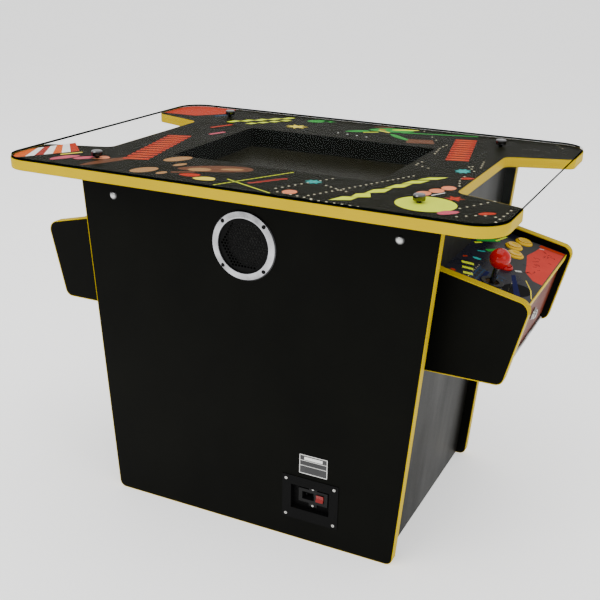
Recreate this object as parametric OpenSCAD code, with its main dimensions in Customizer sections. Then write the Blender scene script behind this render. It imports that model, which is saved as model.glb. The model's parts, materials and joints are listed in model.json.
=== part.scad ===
// Two-player cocktail arcade cabinet: a low table with a sunk screen under glass,
// tapered sides and a control box at each short end.
// +X runs along the table, -Y is the side with the speaker and the mains inlet,
// Z = 0 is the floor.

/* [Table top] */
// Length of the table top
top_len = 900; // [860:10:960]
// Width of the table top
top_wid = 640; // [600:10:680]
// Height of the glass above the floor
top_h = 677; // [660:1:720]
// Corner radius of the table top
top_corner = 52; // [40:1:60]
// Thickness of the cabinet boards
board_t = 18; // [16:1:19]
// Thickness of the glass
glass_t = 4; // [4:1:6]
// Half width of the end notches at the table's end
notch_mouth = 190; // [180:1:200]
// Half width of the end notches at their inner end
notch_inner = 150; // [140:1:160]
// Depth of the end notches
notch_depth = 118; // [100:1:120]
// Length of the screen opening
screen_len = 396; // [380:1:400]
// Width of the screen opening
screen_wid = 296; // [280:1:300]

/* [Cabinet body] */
// Half length of the side panels at the top
side_top = 340; // [330:1:350]
// Half length of the side panels at the floor
side_base = 292; // [280:1:300]
// Distance from the middle to the outer face of a side panel
side_y = 234; // [230:1:240]
// How far the end panels stand in from the edges of the side panels
end_inset = 18; // [16:1:24]

/* [Speaker and mains] */
// Place of the speaker along the front panel
speaker_x = -6; // [-20:1:20]
// Height of the speaker's centre
speaker_z = 555; // [540:1:570]
// Outer diameter of the speaker's ring
ring_d = 124; // [120:1:130]
// Centre of the mains plate along the front panel
plate_x = 130; // [110:1:150]
// Height of the mains plate's centre
plate_z = 88; // [80:1:100]

/* [Control boxes] */
// Slope of the control decks, in degrees
deck_slope = 13; // [10:1:15]
// Distance from the middle to the outer face of a cheek
cheek_y = 175; // [170:1:180]
// Length of a deck down its slope, from the end panel to its front edge
deck_len = 152; // [148:1:154]
// Diameter of a push button's rim
rim_d = 33; // [32:1:34]
// Diameter of a joystick ball
ball_d = 35; // [34:1:38]

/* [Hidden] */
$fn = 64;

// Edge moulding: crown thickness, barb depth and thickness, groove depth and width
bead = 1.6;
barb = 7.5;
barb_t = 1.6;
groove = 8;
groove_t = 2;
// Printed sheet between table board and glass
print_t = 0.4;
// Gap that keeps neighbouring boards apart
gap = 0.5;

// Heights of the table top's layers
glass_z = top_h - glass_t;
board_z = glass_z - print_t - board_t;
// Side panels stand on their moulding
side_z0 = bead;
side_h = board_z;
// Outward lean of the cabinet's ends per millimetre of height
lean = (side_top - side_base) / side_h;
function edge_x(z) = side_base + lean * z;
function end_x(z) = edge_x(z) - end_inset;
inner_y = side_y - board_t;

// Table outline, counter-clockwise, and the radius of each corner
nx = top_len / 2 - notch_depth;
hx = top_len / 2;
hy = top_wid / 2;
table_pts = [
    [hx, -hy], [hx, -notch_mouth], [nx, -notch_inner], [nx, notch_inner],
    [hx, notch_mouth], [hx, hy], [-hx, hy], [-hx, notch_mouth],
    [-nx, notch_inner], [-nx, -notch_inner], [-hx, -notch_mouth], [-hx, -hy]
];
table_rad = [for (i = [0:1])
    for (r = [top_corner, 14, 20, 20, 14, top_corner]) r];

// Side panel outline in X and Z
side_pts = [
    [-edge_x(side_z0), side_z0], [edge_x(side_z0), side_z0],
    [edge_x(side_h), side_h], [-edge_x(side_h), side_h]
];
side_rad = [12, 12, 0, 0];

// Table hinge on the back: axis, knuckle and leaf sizes
hinge_y = side_y + 4.5;
hinge_z = board_z - 6;
knuckle_r = 4;
pin_r = 1.5;
leaf_t = 1.5;
leaf_len = 90;
leaf_x = 210;
leaf_w = 32;

// Deck frame: X down the slope, Z off the deck's face; cheeks stand proud of the deck
cheek_top_x = 323;
cheek_top_z = 549.7;
cheek_rise = 14;
deck_x = end_x(540) + 3;
deck_z = cheek_top_z - (deck_x - cheek_top_x) * tan(deck_slope) - cheek_rise / cos(deck_slope);
deck_t = 12;
film_t = 0.3;
cheek_in = cheek_y - board_t;
cheek_front = 159;
cheek_low = 369;
rail_x = 124;

// Front door of a control box, in the deck frame, with its hinge below
door_x = 147;
door_t = 12;
door_top = -14.5;
door_low = -126;
door_half = cheek_in - gap;
door_hinge = [149.4, -129.6];
door_knuckle_r = 2.6;
door_pin_r = 1.1;
door_leaf_t = 0.8;
door_leaf_half = 140;
door_pitch = 40;

// Controls on a deck: [distance down the slope, place across]
stick_at = [78, -106];
buttons_at = [[76, 52], [64, 91], [73, 132]];
start_at = [75, -20];
holes_at = concat(buttons_at, [start_at]);

// Push button sizes
hole_r = 14;
barrel_r = 13.8;
barrel_in = 12;
plunger_r = 11.93;
rim_h = 4;
button_depth = 30;
plunger_top = 5.5;
plunger_low = -22;
dish_r = 30.4;

// Joystick sizes, from the deck's face and from the pivot
ball_z = 43;
shaft_r = 5;
pivot_z = -24;
stick_room = 16;
ring_in = 8;
ring_out = 13;
ring_half = 3.5;
trunnion_r = 2;
cross_pin_r = 1.5;
running = 0.06;

// Cam lock in each door
lock_z = -69;
lock_r = 9.5;
plug_r = 6.4;
cam_len = 45;
cam_in = 26;

// ---- Outline helpers ----
function unit(v) = v / norm(v);
function left_of(v) = [-v.y, v.x];
function prev(P, i) = P[(i + len(P) - 1) % len(P)];
function next(P, i) = P[(i + 1) % len(P)];
function way_in(P, i) = unit(P[i] - prev(P, i));
function way_out(P, i) = unit(next(P, i) - P[i]);
function turn(P, i) =
    let (a = way_in(P, i), b = way_out(P, i)) atan2(a.x * b.y - a.y * b.x, a * b);
function cut_back(P, R, i) = R[i] * tan(abs(turn(P, i)) / 2);
function arc_start(P, R, i) = P[i] - way_in(P, i) * cut_back(P, R, i);
function arc_end(P, R, i) = P[i] + way_out(P, i) * cut_back(P, R, i);
function arc_mid(P, R, i) =
    arc_start(P, R, i) + left_of(way_in(P, i)) * R[i] * sign(turn(P, i));
// The outline moved inwards by d. An open edge isn't: it moves outwards by spill instead,
// so that a cut runs clear of it. Edge i runs from corner i to corner i + 1.
function edge_inset(i, d, open, spill) = search(i, open) == [] ? d : -spill;
function inset_pts(P, d, open, spill) = [for (i = [0:len(P) - 1])
    let (
        a = left_of(way_in(P, i)), b = left_of(way_out(P, i)), c = a * b,
        da = edge_inset((i + len(P) - 1) % len(P), d, open, spill),
        db = edge_inset(i, d, open, spill)
    )
    P[i] + (a * (da - c * db) + b * (db - c * da)) / (1 - c * c)];
function inset_rad(P, R, d) = [for (i = [0:len(P) - 1])
    R[i] == 0 ? 0 : max(R[i] - d * sign(turn(P, i)), 0.5)];

// Flat outline with rounded corners
module rounded(P, R) {
    difference() {
        union() {
            polygon([for (i = [0:len(P) - 1])
                for (p = R[i] > 0 ? [arc_start(P, R, i), arc_end(P, R, i)] : [P[i]]) p]);
            for (i = [0:len(P) - 1])
                if (R[i] > 0 && turn(P, i) > 0)
                    translate(arc_mid(P, R, i)) circle(R[i]);
        }
        for (i = [0:len(P) - 1])
            if (R[i] > 0 && turn(P, i) < 0)
                translate(arc_mid(P, R, i)) circle(R[i]);
    }
}

// The same outline moved inwards by d
module rounded_inset(P, R, d, open, spill) {
    rounded(inset_pts(P, d, open, spill), inset_rad(P, R, d));
}

// Board with a groove for the moulding's barb round its edge, Z from 0 to board_t
module grooved_board(P, R, open) {
    difference() {
        linear_extrude(board_t) rounded(P, R);
        translate([0, 0, (board_t - groove_t) / 2])
            linear_extrude(groove_t)
                difference() {
                    rounded_inset(P, R, -1, open, 0);
                    rounded_inset(P, R, groove, open, 1);
                }
    }
}

// Edge moulding: a crown over the board's edge and a barb in its groove
module moulding(P, R, open) {
    linear_extrude(board_t)
        difference() {
            rounded_inset(P, R, -bead, open, 0);
            rounded_inset(P, R, 0, open, 1);
        }
    translate([0, 0, (board_t - barb_t) / 2])
        linear_extrude(barb_t)
            difference() {
                rounded_inset(P, R, -bead / 2, open, 0);
                rounded_inset(P, R, barb, open, 1);
            }
}

// Lifts a flat outline in X and Z so that it spans y0 to y1
module upright(y0, y1) {
    translate([0, y1, 0]) rotate([90, 0, 0]) linear_extrude(y1 - y0) children();
}

// Stands a board lying in X and Y upright, its lower face at y1
module stand(y1) {
    translate([0, y1, 0]) rotate([90, 0, 0]) children();
}

// The frame of a control deck; side 1 is the right end and -1 the left end
module deck_frame(side) {
    rotate([0, 0, side > 0 ? 0 : 180])
        translate([deck_x, 0, deck_z])
            rotate([0, deck_slope, 0])
                children();
}

// Both ends of the cabinet
module both_ends() {
    for (a = [0, 180]) rotate([0, 0, a]) children();
}

// Box from corner to corner
module block(a, b) {
    translate(a) cube(b - a);
}

// ---- Cabinet body ----
bolt_x = 272;
bolt_z = 608;
side_open = [2];

module side_panel(y1) {
    stand(y1)
        difference() {
            grooved_board(side_pts, side_rad, side_open);
            for (x = [-bolt_x, bolt_x])
                translate([x, bolt_z, -1]) cylinder(r = 3.6, h = board_t + 2);
        }
}

module side_panel_front() {
    color([0.07, 0.07, 0.06])
        difference() {
            side_panel(-inner_y);
            translate([speaker_x, 0, speaker_z])
                rotate([90, 0, 0])
                    cylinder(r = 46, h = side_y + 10);
            block([plate_x - 40, -side_y - 1, tray_z - 27],
                  [plate_x + 40, -inner_y + 1, tray_z + 27]);
            for (p = speaker_screws_at())
                translate([p.x, 0, p.y]) rotate([90, 0, 0]) cylinder(r = 1.6, h = side_y + 10);
            for (p = plate_screws_at())
                translate([p.x, 0, p.y]) rotate([90, 0, 0]) cylinder(r = 1.6, h = side_y + 10);
        }
}

module side_panel_back() {
    color([0.07, 0.07, 0.06])
        side_panel(side_y);
}

module side_trims() {
    color([0.9, 0.76, 0.1])
        for (y1 = [-inner_y, side_y])
            stand(y1) moulding(side_pts, side_rad, side_open);
}

// End panel, leaning outwards with height
module end_panel() {
    z1 = board_z - gap;
    difference() {
        upright(-inner_y, inner_y)
            polygon([
                [end_x(side_z0) - board_t, side_z0], [end_x(side_z0), side_z0],
                [end_x(z1), z1], [end_x(z1) - board_t, z1]
            ]);
        // way through for the control box wiring
        block([end_x(400) - 3 * board_t, -40, 410], [end_x(400) + 2 * board_t, 40, 460]);
    }
}

module end_panel_right() {
    color([0.27, 0.27, 0.26]) end_panel();
}

module end_panel_left() {
    color([0.27, 0.27, 0.26]) rotate([0, 0, 180]) end_panel();
}

module base_board() {
    base_x = end_x(24) - board_t - gap;
    color([0.55, 0.42, 0.28])
        block([-base_x, -inner_y, 24], [base_x, inner_y, 24 + board_t]);
}

// Battens in the four corners, and one under each long edge of the base board
module corner_battens() {
    b = 25;
    z0 = 44;
    z1 = 585;
    color([0.72, 0.58, 0.4]) {
        both_ends()
            for (y = [-inner_y, inner_y - b])
                upright(y, y + b)
                    polygon([
                        [end_x(z0) - board_t - b, z0], [end_x(z0) - board_t, z0],
                        [end_x(z1) - board_t, z1], [end_x(z1) - board_t - b, z1]
                    ]);
        for (y = [-inner_y, inner_y - b])
            block([-220, y, 4], [220, y + b, 24]);
    }
}

// Steel angles that the carriage bolts pull into the top corners
bracket_t = 2.5;
module corner_brackets() {
    z0 = bolt_z - 18;
    z1 = bolt_z + 18;
    x0 = end_x(z0) - board_t;
    x1 = end_x(z1) - board_t;
    color([0.6, 0.6, 0.62])
        both_ends()
            for (m = [0, 1])
                mirror([0, m, 0])
                    difference() {
                        union() {
                            upright(inner_y - bracket_t, inner_y)
                                polygon([[bolt_x - 12, z0], [x0, z0], [x1, z1], [bolt_x - 12, z1]]);
                            upright(inner_y - 40, inner_y)
                                polygon([[x0 - bracket_t, z0], [x0, z0], [x1, z1], [x1 - bracket_t, z1]]);
                        }
                        translate([bolt_x, inner_y + 1, bolt_z])
                            rotate([90, 0, 0]) cylinder(r = 3.6, h = bracket_t + 2);
                    }
}

// Domed heads outside, washers and nuts inside
module carriage_bolts() {
    in = board_t + bracket_t;
    color([0.8, 0.8, 0.8])
        for (s = [-1, 1])
            for (x = [-bolt_x, bolt_x])
                translate([x, s * side_y, bolt_z])
                    rotate([s * -90, 0, 0]) {
                        intersection() {
                            translate([0, 0, -9.2]) sphere(r = 12);
                            cylinder(r = 8, h = 5);
                        }
                        translate([0, 0, -34]) cylinder(r = 3.4, h = 35);
                        translate([0, 0, -in - 2]) cylinder(r = 8, h = 2);
                        translate([0, 0, -in - 8]) cylinder(r = 7, h = 6, $fn = 6);
                    }
}

// ---- Speaker ----
function speaker_screws_at() = [for (a = [45:90:315])
    [speaker_x + 56 * cos(a), speaker_z + 56 * sin(a)]];

// Frame of the speaker: Z points out of the front panel
module speaker_axis() {
    translate([speaker_x, -side_y, speaker_z]) rotate([90, 0, 0]) children();
}

module speaker_ring() {
    color([0.82, 0.82, 0.84])
        speaker_axis()
            difference() {
                rotate_extrude($fn = 96)
                    polygon([
                        [48, 0.8], [50, 0.8], [50, 0], [62, 0], [62, 1], [60, 2.6], [51, 4],
                        [49, 4], [48, 3]
                    ]);
                for (a = [45:90:315])
                    rotate([0, 0, a]) {
                        translate([56, 0, -1]) cylinder(r = 1.8, h = 8);
                        translate([56, 0, 2.4]) cylinder(r = 3.9, h = 4);
                    }
            }
}

module speaker_mesh() {
    color([0.05, 0.05, 0.05])
        speaker_axis()
            linear_extrude(0.8)
                difference() {
                    circle(49.8);
                    for (q = [-7:7])
                        for (r = [-7:7])
                            if (abs(q + r) <= 7)
                                translate([6 * (q + r / 2), 6 * r * sin(60)]) circle(2.2);
                }
}

// Pressed frame with its magnet, behind the panel
module speaker_frame() {
    color([0.12, 0.12, 0.12])
        speaker_axis() {
            difference() {
                union() {
                    translate([0, 0, -board_t - 2]) cylinder(r = 60, h = 2);
                    translate([0, 0, -board_t - 32])
                        rotate_extrude($fn = 64)
                            polygon([[0, 0], [30, 0], [52, 30], [49.5, 30], [28, 2], [0, 2]]);
                }
                translate([0, 0, -board_t - 3]) cylinder(r = 46, h = 4);
                for (a = [0:60:300])
                    rotate([0, 0, a])
                        translate([40, 0, -board_t - 18])
                            cube([30, 20, 16], center = true);
                translate([0, 0, -board_t - 40]) cylinder(r = 13, h = 12);
            }
            // magnet with its back plate, and the pole that the voice coil slides over
            difference() {
                translate([0, 0, -board_t - 46]) cylinder(r = 35, h = 14);
                translate([0, 0, -board_t - 44]) cylinder(r = 13, h = 20);
            }
            translate([0, 0, -board_t - 45]) cylinder(r = 10, h = 13);
        }
}

module speaker_cone() {
    color([0.2, 0.2, 0.19])
        speaker_axis()
            rotate_extrude($fn = 64)
                polygon([
                    [0, -board_t - 14], [9, -board_t - 15.5], [14, -board_t - 19],
                    [42, -board_t - 5], [45, -board_t - 5], [45, -board_t - 6.2],
                    [42.5, -board_t - 6.4], [12, -board_t - 21.5], [12, -board_t - 40],
                    [10.5, -board_t - 40], [10.5, -board_t - 18], [0, -board_t - 15.5]
                ]);
}

// ---- Mains inlet ----
function plate_screws_at() = [for (x = [-48, 48])
    for (z = [-37.5, 37.5]) [plate_x + x, plate_z + z]];
inlet_x = plate_x + 2.5;
inlet_z = plate_z + 4;
tray_deep = 12;
rocker_x = inlet_x + 14;
rocker_y = -side_y + tray_deep;
rocker_pin_r = 1.4;
tray_z = plate_z + 2;

module power_plate() {
    color([0.1, 0.1, 0.1])
        difference() {
            union() {
                block([plate_x - 56, -side_y - 1.2, plate_z - 45],
                      [plate_x + 56, -side_y, plate_z + 45]);
                block([plate_x - 39.5, -side_y, tray_z - 26],
                      [plate_x + 39.5, -side_y + tray_deep, tray_z + 26]);
            }
            block([plate_x - 38.3, -side_y - 2, tray_z - 24.8],
                  [plate_x + 38.3, -side_y + tray_deep - 1.2, tray_z + 24.8]);
            // cut-out for the inlet module
            block([inlet_x - 24.4, -side_y, inlet_z - 11.4],
                  [inlet_x + 24.4, -side_y + tray_deep + 1, inlet_z + 11.4]);
            for (p = plate_screws_at())
                translate([p.x, -side_y + 1, p.y]) rotate([90, 0, 0]) cylinder(r = 1.8, h = 4);
            for (z = [-17.5, 17.5])
                translate([inlet_x, -side_y + tray_deep + 1, inlet_z + z])
                    rotate([90, 0, 0]) cylinder(r = 1.5, h = 4);
        }
}

// Mains socket and switch housing in one moulding, with the socket's three pins
module inlet_module() {
    y0 = -side_y + tray_deep - 1.2;
    color([0.06, 0.06, 0.06]) {
        difference() {
            union() {
                block([inlet_x - 29, y0 - 3, inlet_z - 14], [inlet_x + 29, y0, inlet_z + 14]);
                block([inlet_x - 8, y0 - 3, inlet_z - 20.5], [inlet_x + 8, y0, inlet_z + 20.5]);
                block([inlet_x - 24, y0, inlet_z - 11], [inlet_x + 24, y0 + 24, inlet_z + 11]);
            }
            // socket well
            block([inlet_x - 22, y0 - 4, inlet_z - 8], [inlet_x + 2, y0 + 16, inlet_z + 8]);
            // switch window
            block([rocker_x - 8, y0 - 4, inlet_z - 8], [rocker_x + 8, y0 + 14, inlet_z + 8]);
            for (z = [-17.5, 17.5])
                translate([inlet_x, y0 + 1, inlet_z + z])
                    rotate([90, 0, 0]) cylinder(r = 1.5, h = 6);
            // bearings of the rocker's pivots
            translate([rocker_x - 9.7, rocker_y, inlet_z])
                rotate([0, 90, 0]) cylinder(r = rocker_pin_r + running, h = 19.4);
        }
        for (p = [[-17, -2], [-10, 3], [-3, -2]])
            block([inlet_x + p.x - 1, y0 + 6, inlet_z + p.y - 2.5],
                  [inlet_x + p.x + 1, y0 + 17, inlet_z + p.y + 2.5]);
    }
}

// Rocker on two pivots, tipped to its off side at rest
rocker_tip = 9;
module power_rocker() {
    color([0.75, 0.05, 0.04])
        translate([rocker_x, rocker_y, inlet_z]) {
            rotate([-rocker_tip, 0, 0])
                rotate([90, 0, 90])
                    translate([0, 0, -7.2])
                        linear_extrude(14.4)
                            polygon([
                                [-7.6, -6.6], [-5.6, 0], [-7.6, 6.6], [0, 5], [4, 2.5], [4, -2.5],
                                [0, -5]
                            ]);
            translate([-9.4, 0, 0]) rotate([0, 90, 0]) cylinder(r = rocker_pin_r, h = 18.8);
        }
}

module rating_label() {
    color([0.8, 0.8, 0.8])
        block([plate_x - 23, -side_y - 0.3, plate_z + 54.5],
              [plate_x + 33, -side_y, plate_z + 94]);
}

// Countersunk screws: speaker ring, mains plate and inlet module
module screw(head_r, len) {
    cylinder(r1 = head_r, r2 = head_r * 0.8, h = 1.4);
    translate([0, 0, -len]) cylinder(r = 1.4, h = len);
}

module panel_screws() {
    color([0.7, 0.7, 0.7]) {
        for (p = speaker_screws_at())
            translate([p.x, -side_y - 2.4, p.y]) rotate([90, 0, 0]) screw(3.6, 14);
        for (p = plate_screws_at())
            translate([p.x, -side_y - 1.2, p.y]) rotate([90, 0, 0]) screw(3.4, 12);
        for (z = [-17.5, 17.5])
            translate([inlet_x, -side_y + tray_deep - 4.2, inlet_z + z])
                rotate([90, 0, 0]) screw(2.8, 8);
    }
}

// ---- Electronics ----
board_top = 24 + board_t;

module game_board() {
    color([0.05, 0.35, 0.15]) {
        for (x = [-165, -15])
            for (y = [-45, 95])
                translate([x, y, board_top]) cylinder(r = 3, h = 9);
        block([-172, -52, board_top + 8], [-8, 102, board_top + 9.6]);
        block([-110, 10, board_top + 9.6], [-70, 50, board_top + 13]);
        block([-60, 60, board_top + 9.6], [-30, 90, board_top + 12]);
        block([-165, 80, board_top + 9.6], [-80, 96, board_top + 21]);
        block([-40, -46, board_top + 9.6], [-14, 30, board_top + 22]);
    }
}

module power_supply() {
    color([0.7, 0.7, 0.72])
        difference() {
            block([40, -60, board_top], [200, 40, board_top + 42]);
            // rows of cooling slots through the cover
            for (x = [60:12:180])
                block([x, -40, board_top + 40.8], [x + 6, 20, board_top + 43]);
            block([42, -58, board_top + 2], [198, 38, board_top + 40.8]);
        }
}

// ---- Control boxes ----
// A point of the deck frame in X and Z of the right end
function deck_xz(u, w) =
    [deck_x + u * cos(deck_slope) + w * sin(deck_slope),
     deck_z - u * sin(deck_slope) + w * cos(deck_slope)];

// Cheek outline in X and Z of the right end; its last edge, on the end panel, is open
cheek_w = cheek_rise - bead;
front_drop = (deck_xz(cheek_front, 0).y - cheek_low) / cos(deck_slope);
top_back = deck_xz(-3.4, cheek_w);
cheek_pts = [
    [end_x(cheek_low), cheek_low], deck_xz(cheek_front, -front_drop),
    deck_xz(cheek_front, cheek_w), [end_x(top_back.y), top_back.y]
];
cheek_rad = [0, 14, 18, 0];
cheek_open = [3];

// Everything on the cabinet's side of the end panel's face, in X and Z
module behind_end_panel() {
    upright(-cheek_y - 1, cheek_y + 1)
        polygon([[200, 300], [end_x(300), 300], [end_x(600), 600], [200, 600]]);
}

// Cheeks, bottom boards and the rails that the lock cams turn behind
bottom_z = deck_xz(door_hinge.x, door_hinge.y).y - door_knuckle_r + door_leaf_t;
module control_box_boards() {
    half = cheek_in - 0.2;
    color([0.07, 0.07, 0.06])
        both_ends() {
            for (y1 = [-cheek_in, cheek_y])
                stand(y1) grooved_board(cheek_pts, cheek_rad, cheek_open);
            difference() {
                block([290, -half, bottom_z], [deck_xz(door_x - door_t, door_low).x - 2, half, bottom_z + 12]);
                behind_end_panel();
            }
            deck_frame(1)
                block([rail_x, -half, -deck_t - 20], [rail_x + 10, half, -deck_t]);
        }
}

module cheek_trims() {
    color([0.9, 0.76, 0.1])
        both_ends()
            for (y1 = [-cheek_in, cheek_y])
                stand(y1) moulding(cheek_pts, cheek_rad, cheek_open);
}

// Holes for the buttons and the joystick
module deck_holes(z0, z1) {
    for (p = holes_at)
        translate([p.x, p.y, z0]) cylinder(r = hole_r, h = z1 - z0);
    translate([stick_at.x, stick_at.y, z0]) cylinder(r = stick_room, h = z1 - z0);
}

module deck_boards() {
    color([0.12, 0.12, 0.13])
        both_ends()
            difference() {
                deck_frame(1)
                    difference() {
                        block([-12, -cheek_in, -deck_t], [deck_len - bead, cheek_in, -film_t]);
                        translate([deck_len - bead - groove, -cheek_y, -(deck_t + groove_t) / 2])
                            cube([groove + 1, 2 * cheek_y, groove_t]);
                        deck_holes(-deck_t - 1, 1);
                    }
                behind_end_panel();
            }
}

module deck_prints() {
    color([0.15, 0.15, 0.17])
        both_ends()
            difference() {
                deck_frame(1)
                    difference() {
                        block([-12, -cheek_in, -film_t], [deck_len - bead, cheek_in, 0]);
                        deck_holes(-1, 1);
                    }
                behind_end_panel();
            }
}

module deck_trims() {
    color([0.9, 0.76, 0.1])
        for (side = [1, -1])
            deck_frame(side) {
                block([deck_len - bead, -cheek_in, -deck_t], [deck_len, cheek_in, 0]);
                block([deck_len - bead - barb, -cheek_in, -(deck_t + barb_t) / 2],
                      [deck_len - bead / 2, cheek_in, -(deck_t - barb_t) / 2]);
            }
}

// ---- Doors of the control boxes ----
module door(side) {
    color([0.25, 0.09, 0.05])
        deck_frame(side)
            difference() {
                block([door_x - door_t, -door_half, door_low], [door_x, door_half, door_top]);
                translate([door_x - door_t - 1, 0, lock_z])
                    rotate([0, 90, 0]) cylinder(r = lock_r + 0.1, h = door_t + 2);
            }
}

module right_door() { door(1); }
module left_door() { door(-1); }

// Moving knuckle of the door hinge from y0 to y1, with the web to its leaf
module door_knuckle(y0, y1) {
    difference() {
        union() {
            translate([door_hinge.x, y1, door_hinge.y])
                rotate([90, 0, 0]) cylinder(r = door_knuckle_r, h = y1 - y0);
            block([door_x - 1, y0, door_hinge.y + 1.4], [door_hinge.x, y1, door_low]);
        }
        translate([door_hinge.x, y1 + 1, door_hinge.y])
            rotate([90, 0, 0]) cylinder(r = door_pin_r + running, h = y1 - y0 + 2);
    }
}

// Hinge leaf under the door's lower edge, and the lock's barrel with its nut
module door_fittings(side) {
    color([0.75, 0.75, 0.76])
        deck_frame(side) {
            block([door_x - door_t + 2, -door_leaf_half, door_low - door_leaf_t],
                  [door_x + 1, door_leaf_half, door_low]);
            for (y = [-100:2 * door_pitch:60])
                door_knuckle(y + 0.3, y + door_pitch - 0.3);
            translate([door_x, 0, lock_z])
                rotate([0, 90, 0])
                    difference() {
                        union() {
                            cylinder(r = 11.5, h = 2);
                            translate([0, 0, 2]) cylinder(r1 = 10.5, r2 = 9, h = 4);
                            translate([0, 0, -22]) cylinder(r = lock_r, h = 23);
                            translate([0, 0, -door_t - 5]) cylinder(r = 14, h = 5, $fn = 6);
                        }
                        translate([0, 0, -23]) cylinder(r = plug_r + running, h = 30);
                    }
        }
}

module right_door_fittings() { door_fittings(1); }
module left_door_fittings() { door_fittings(-1); }

// Key plug with the cam on its inner end; the cam lies across at rest
module lock_cam(side) {
    color([0.75, 0.75, 0.72])
        deck_frame(side)
            translate([door_x, 0, lock_z])
                rotate([0, 90, 0])
                    difference() {
                        union() {
                            translate([0, 0, -cam_in]) cylinder(r = plug_r, h = cam_in + 7);
                            translate([0, 0, -cam_in]) cylinder(r = 8, h = 2.8);
                            block([-7, 0, -cam_in], [7, cam_len, -cam_in + 2]);
                        }
                        block([-0.8, -3.5, 3], [0.8, 3.5, 8]);
                    }
}

module right_lock_cam() { lock_cam(1); }
module left_lock_cam() { lock_cam(-1); }

// ---- Hinge leaves that stay still ----
// One knuckle of the table hinge, centred on x
module table_knuckle(x, half, bore) {
    translate([x - half, hinge_y, hinge_z])
        rotate([0, 90, 0])
            difference() {
                cylinder(r = knuckle_r, h = 2 * half);
                translate([0, 0, -1]) cylinder(r = bore, h = 2 * half + 2);
            }
}

// Leaf on the back panel with its outer knuckles and the pin held in them
module table_fixed_leaf() {
    third = leaf_len / 3;
    block([-leaf_len / 2, side_y, hinge_z - leaf_w], [leaf_len / 2, side_y + leaf_t, hinge_z - 5]);
    for (k = [-1, 1]) {
        table_knuckle(k * third, third / 2 - 0.3, pin_r - 0.3);
        block([k * third - third / 2 + 0.3, side_y, hinge_z - 6],
              [k * third + third / 2 - 0.3, side_y + leaf_t, hinge_z]);
    }
    translate([-leaf_len / 2 + 0.3, hinge_y, hinge_z])
        rotate([0, 90, 0]) cylinder(r = pin_r, h = leaf_len - 0.6);
}

// Leaf under the box's bottom board, in the frame of the right end
module door_fixed_leaf() {
    at = deck_xz(door_hinge.x, door_hinge.y);
    low = at.y - door_knuckle_r;
    block([at.x - 34, -door_leaf_half, low], [at.x - 3.4, door_leaf_half, low + door_leaf_t]);
    for (y = [-door_leaf_half:2 * door_pitch:100]) {
        y1 = y + door_pitch - 0.3;
        block([at.x - 4, y + 0.3, low], [at.x, y1, low + door_leaf_t]);
        translate([at.x, y1, at.y])
            rotate([90, 0, 0]) cylinder(r = door_knuckle_r, h = door_pitch - 0.6);
    }
    translate([at.x, door_leaf_half - 0.3, at.y])
        rotate([90, 0, 0]) cylinder(r = door_pin_r, h = 2 * door_leaf_half - 0.6);
}

module fixed_hinge_leaves() {
    color([0.7, 0.7, 0.7]) {
        for (x = [-leaf_x, leaf_x]) translate([x, 0, 0]) table_fixed_leaf();
        both_ends() door_fixed_leaf();
    }
}

// ---- Joysticks and buttons ----
// The frame of a joystick, its origin on the pivot
module stick_frame(side) {
    deck_frame(side) translate([stick_at.x, stick_at.y, pivot_z]) children();
}

// Plate and housing under the deck, with bearings for the gimbal's trunnions
module stick_housings() {
    color([0.1, 0.1, 0.1])
        for (side = [1, -1])
            deck_frame(side)
                translate([stick_at.x, stick_at.y, 0])
                    difference() {
                        union() {
                            block([-34, -34, -deck_t - 2], [34, 34, -deck_t]);
                            block([-24, -24, -deck_t - 26], [24, 24, -deck_t - 2]);
                        }
                        translate([0, 0, -deck_t - 30]) cylinder(r = stick_room + 1, h = 40);
                        translate([-22, 0, pivot_z])
                            rotate([0, 90, 0]) cylinder(r = trunnion_r + running, h = 44);
                    }
}

// Flat black rings on the decks round the shafts
module dust_rings() {
    color([0.06, 0.06, 0.06])
        for (side = [1, -1])
            deck_frame(side)
                translate([stick_at.x, stick_at.y, 0])
                    rotate_extrude()
                        polygon([[12, 0], [20, 0], [20, 0.8], [18.8, 1.6], [12.6, 1.6], [12, 1.2]]);
}

// Four switches round each joystick and one under each button
module microswitches() {
    color([0.08, 0.08, 0.08])
        for (side = [1, -1])
            deck_frame(side) {
                for (a = [0:90:270])
                    translate([stick_at.x, stick_at.y, 0])
                        rotate([0, 0, a])
                            block([17.5, -10, -deck_t - 42], [24, 10, -deck_t - 26]);
                for (p = holes_at)
                    translate([p.x, p.y, -button_depth])
                        block([-14, -5.5, -14], [14, 5.5, 0]);
            }
}

// Rim, barrel and nut of one push button
module button_shell(p) {
    translate([p.x, p.y, 0])
        difference() {
            union() {
                rotate_extrude()
                    polygon([[barrel_in, 0], [rim_d / 2, 0], [rim_d / 2, 1.6],
                             [rim_d / 2 - 1.4, 3.2], [13.6, rim_h], [barrel_in, 3.2]]);
                translate([0, 0, -button_depth]) cylinder(r = barrel_r, h = button_depth);
                translate([0, 0, -deck_t - 8]) cylinder(r = 18, h = 8);
            }
            translate([0, 0, -button_depth - 1]) cylinder(r = barrel_in, h = button_depth + 8);
        }
}

module button_rims() {
    color([0.92, 0.76, 0.06])
        for (side = [1, -1])
            deck_frame(side)
                for (p = buttons_at) button_shell(p);
}

module start_rims() {
    color([0.75, 0.04, 0.04])
        for (side = [1, -1])
            deck_frame(side) button_shell(start_at);
}

// Plunger with a dished top, hollow below round the stem that works the switch
module plunger(p) {
    translate([p.x, p.y, 0])
        difference() {
            union() {
                translate([0, 0, plunger_low]) cylinder(r = plunger_r, h = plunger_top - plunger_low);
                translate([0, 0, plunger_low - 4.5]) cylinder(r = 3, h = 6);
            }
            translate([0, 0, plunger_top - 1.4 + dish_r]) sphere(r = dish_r, $fn = 96);
            translate([0, 0, plunger_low - 1])
                difference() {
                    cylinder(r = 10, h = 14);
                    translate([0, 0, -1]) cylinder(r = 3, h = 16);
                }
        }
}

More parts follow.
